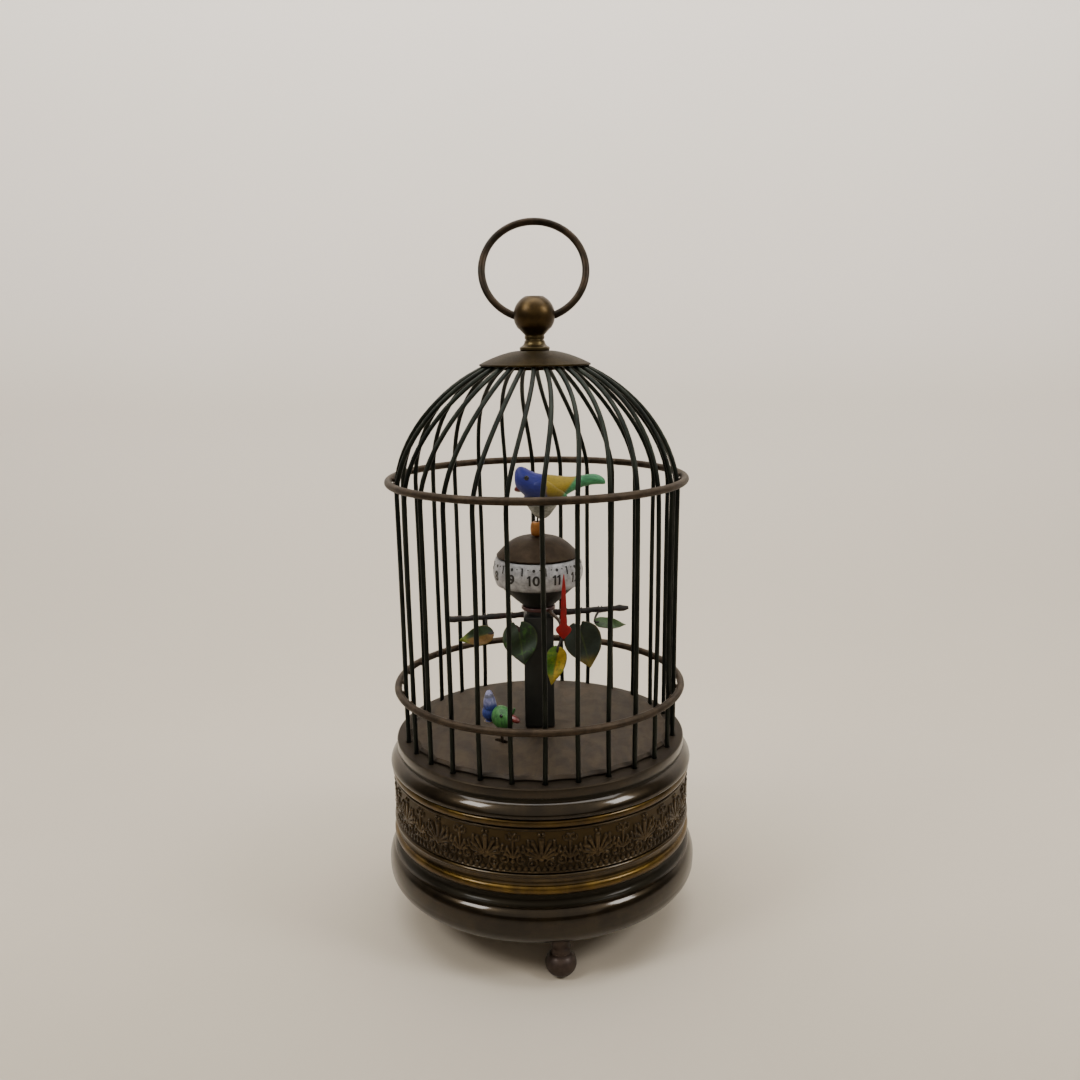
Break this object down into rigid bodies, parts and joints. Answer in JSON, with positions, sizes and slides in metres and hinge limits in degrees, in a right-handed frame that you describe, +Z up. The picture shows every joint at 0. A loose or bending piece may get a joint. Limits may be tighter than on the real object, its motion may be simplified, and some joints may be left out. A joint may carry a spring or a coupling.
{
  "type": "birdcage automaton clock",
  "caption": "Domed wire birdcage on a round brass base, with a rotating ball dial, a turning bird, a pecking bird and a wind-up movement.",
  "frame": {"origin": "on the floor, under the axis of the cage", "axes": "+Z up along the cage axis, front of the clock towards -Y"},
  "size_m": [0.104, 0.104, 0.2293],
  "materials": {
    "aged_brass": "tarnished brown brass with worn golden edges",
    "embossed_brass": "embossed brass with dark patina in the hollows",
    "hoop_brass": "dull brown tarnished brass",
    "dark_cage_wire": "dark green black lacquered wire",
    "floor_brown": "matt grained brown paint",
    "post_paint": "dark green black paint",
    "dial_white": "silvered white with black numerals",
    "crown_brown": "brown worn gilding",
    "bead_copper": "orange copper bead on a steel rod",
    "pointer_red": "red enamel",
    "leaf_green": "hand painted green and yellow tin leaves on a dark twig",
    "bird_blue": "painted bird, blue head, yellow back, green tail",
    "bird_green": "painted bird, green head, blue wing",
    "movement_brass": "polished movement brass",
    "movement_steel": "bright steel"
  },
  "bodies": {
    "root": {"ball_foot_1": "aged_brass", "ball_foot_2": "aged_brass", "ball_foot_3": "aged_brass", "plinth_moulding": "aged_brass", "bottom_cover": "aged_brass", "frieze_band": "embossed_brass", "deck_moulding": "aged_brass", "floor_disc": "floor_brown", "waist_hoop": "hoop_brass", "dome_hoop": "hoop_brass", "cage_cap": "aged_brass", "finial": "aged_brass", "centre_post": "post_paint", "globe_bowl": "post_paint", "time_pointer": "pointer_red", "leafy_branch": "leaf_green", "lower_plate": "movement_brass", "upper_plate": "movement_brass", "cage_wire_01": "dark_cage_wire", "cage_wire_02": "dark_cage_wire", "cage_wire_03": "dark_cage_wire", "cage_wire_04": "dark_cage_wire", "cage_wire_05": "dark_cage_wire", "cage_wire_06": "dark_cage_wire", "cage_wire_07": "dark_cage_wire", "cage_wire_08": "dark_cage_wire", "cage_wire_09": "dark_cage_wire", "cage_wire_10": "dark_cage_wire", "cage_wire_11": "dark_cage_wire", "cage_wire_12": "dark_cage_wire", "cage_wire_13": "dark_cage_wire", "cage_wire_14": "dark_cage_wire", "cage_wire_15": "dark_cage_wire", "cage_wire_16": "dark_cage_wire", "cage_wire_17": "dark_cage_wire", "cage_wire_18": "dark_cage_wire", "cage_wire_19": "dark_cage_wire", "cage_wire_20": "dark_cage_wire", "cage_wire_21": "dark_cage_wire", "cage_wire_22": "dark_cage_wire", "cage_wire_23": "dark_cage_wire", "cage_wire_24": "dark_cage_wire", "cage_wire_25": "dark_cage_wire", "cage_wire_26": "dark_cage_wire", "cage_wire_27": "dark_cage_wire", "cage_wire_28": "dark_cage_wire"},
    "handle": {"handle_ring": "aged_brass"},
    "hour_dial": {"hour_arbor": "movement_brass", "hour_band": "dial_white", "globe_crown": "crown_brown"},
    "barrel": {"mainspring_barrel": "movement_brass"},
    "key": {"winding_key": "movement_steel"},
    "knob": {"setting_knob": "movement_brass"},
    "third": {"third_wheel": "movement_brass"},
    "escape": {"escape_wheel": "movement_brass"},
    "pallets": {"pallet_lever": "movement_steel"},
    "balance": {"balance_wheel": "movement_brass"},
    "perched_bird": {"bird_rod": "bead_copper", "top_bird": "bird_blue"},
    "pecking_bird": {"floor_bird": "bird_green"}
  },
  "joints": [
    {"name": "handle_swing", "type": "hinge", "parent": "root", "child": "handle", "pos_m": [0, 0, 0.19881], "axis": [1, 0, 0], "range_deg": [-101, 145]},
    {"name": "barrel_turn", "type": "hinge", "parent": "root", "child": "barrel", "pos_m": [-0.01842, 0.01064, 0.0311], "axis": [0, 0, 1], "continuous": true},
    {"name": "hour_turn", "type": "hinge", "parent": "root", "child": "hour_dial", "pos_m": [0, 0, 0.0311], "axis": [0, 0, 1], "continuous": true},
    {"name": "knob_turn", "type": "hinge", "parent": "root", "child": "knob", "pos_m": [0.00368, -0.01375, 0.0311], "axis": [0, 0, 1], "continuous": true},
    {"name": "third_turn", "type": "hinge", "parent": "root", "child": "third", "pos_m": [-0.00927, 0.02154, 0.0251], "axis": [0, 0, 1], "continuous": true},
    {"name": "escape_turn", "type": "hinge", "parent": "root", "child": "escape", "pos_m": [0.0024, 0.02164, 0.0351], "axis": [0, 0, 1], "continuous": true},
    {"name": "key_turn", "type": "hinge", "parent": "root", "child": "key", "pos_m": [-0.01842, 0.01064, 0.0157], "axis": [0, 0, 1], "continuous": true},
    {"name": "balance_swing", "type": "hinge", "parent": "root", "child": "balance", "pos_m": [0.02218, 0.01368, 0.0286], "axis": [0, 0, 1], "range_deg": [-140, 140], "stiffness_Nm_per_rad": 0.00002},
    {"name": "bird_turn", "type": "hinge", "parent": "root", "child": "perched_bird", "pos_m": [0, 0, 0.0248], "axis": [0, 0, 1], "range_deg": [-20, 20]},
    {"name": "pallet_rock", "type": "hinge", "parent": "root", "child": "pallets", "pos_m": [0.01147, 0.02012, 0.0269], "axis": [0, 0, 1], "range_deg": [-5.5, 5.5]},
    {"name": "peck", "type": "hinge", "parent": "root", "child": "pecking_bird", "pos_m": [-0.0123, -0.0152, 0.0598], "axis": [-0.6291, -0.7774, 0], "range_deg": [-17, 17]}
  ],
  "couplings": [
    {"joint": "hour_turn", "follows": "barrel_turn", "ratio": -1},
    {"joint": "knob_turn", "follows": "barrel_turn", "ratio": 3},
    {"joint": "third_turn", "follows": "barrel_turn", "ratio": -3},
    {"joint": "escape_turn", "follows": "barrel_turn", "ratio": 9},
    {"joint": "pallet_rock", "follows": "bird_turn", "ratio": -0.24117},
    {"joint": "peck", "follows": "bird_turn", "ratio": 0.82803}
  ]
}
